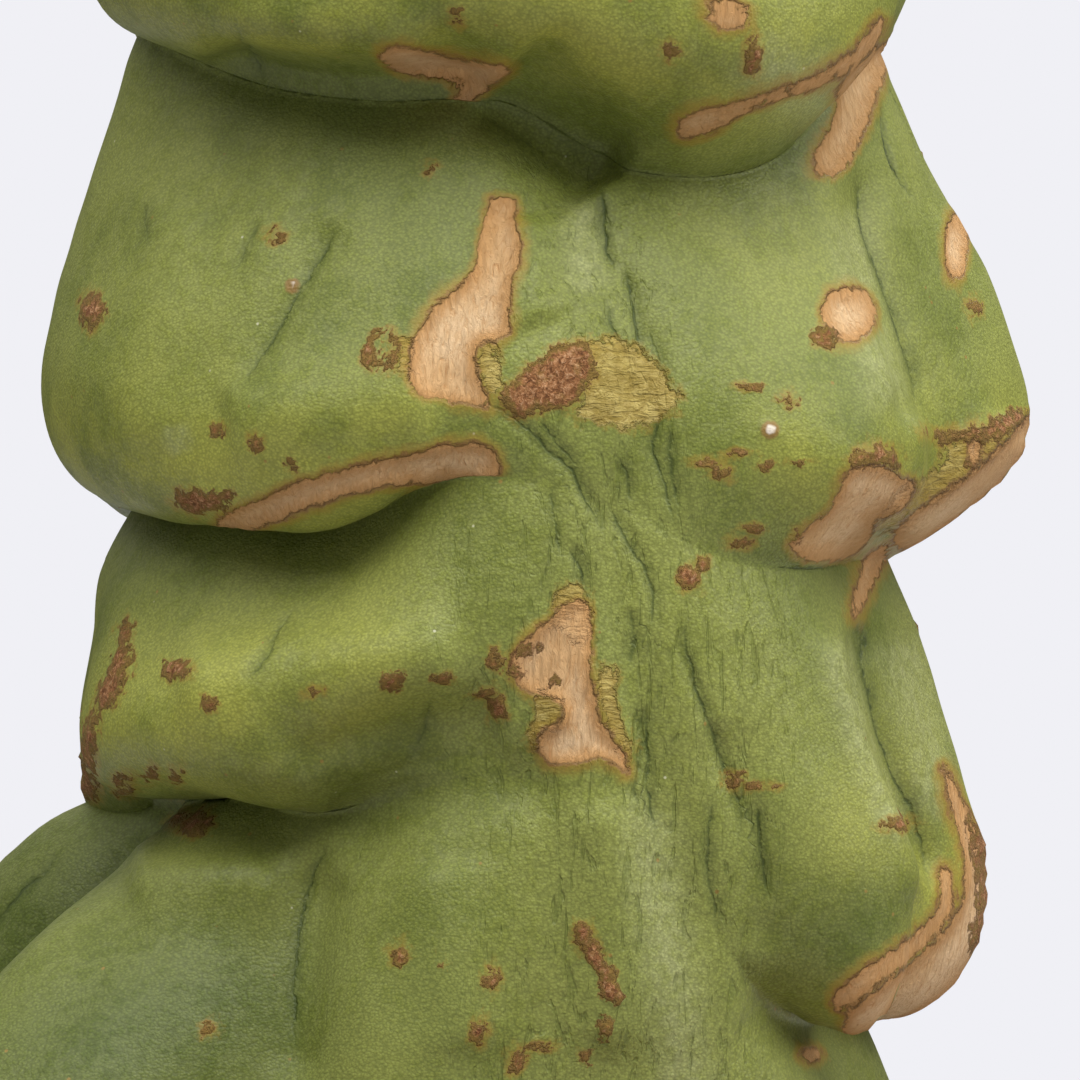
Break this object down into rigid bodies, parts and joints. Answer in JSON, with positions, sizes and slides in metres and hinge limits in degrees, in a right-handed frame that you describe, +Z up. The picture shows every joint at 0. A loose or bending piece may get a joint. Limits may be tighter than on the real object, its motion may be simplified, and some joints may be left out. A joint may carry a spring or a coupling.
{
  "type": "potted cactus",
  "caption": "Potted spineless column cactus: a lumpy stem of stacked drooping lobes with corky scars, standing in a plain terracotta pot of soil under grit.",
  "frame": {"origin": "middle of the pot's foot, on the surface that the pot stands on", "axes": "+Z up the stem, -Y towards the front, +X to the right seen from the front"},
  "size_m": [0.1676, 0.1676, 0.3569],
  "materials": {
    "terracotta": "unglazed fired clay, matt, with pale mineral bloom",
    "crock": "broken unglazed clay",
    "gravel": "loose rounded gravel",
    "soil": "damp gritty potting mix, mostly composted bark",
    "grit": "loose angular grit, dry and matt",
    "cactus_skin": "smooth waxy olive-green skin, fine-pored and satin, with tan corky scars rimmed in brown"
  },
  "bodies": {
    "root": {"pot": "terracotta", "crock_shard": "crock", "drainage_gravel": "gravel", "potting_soil": "soil", "grit_top_dressing": "grit", "cactus_stem": "cactus_skin"}
  },
  "joints": []
}
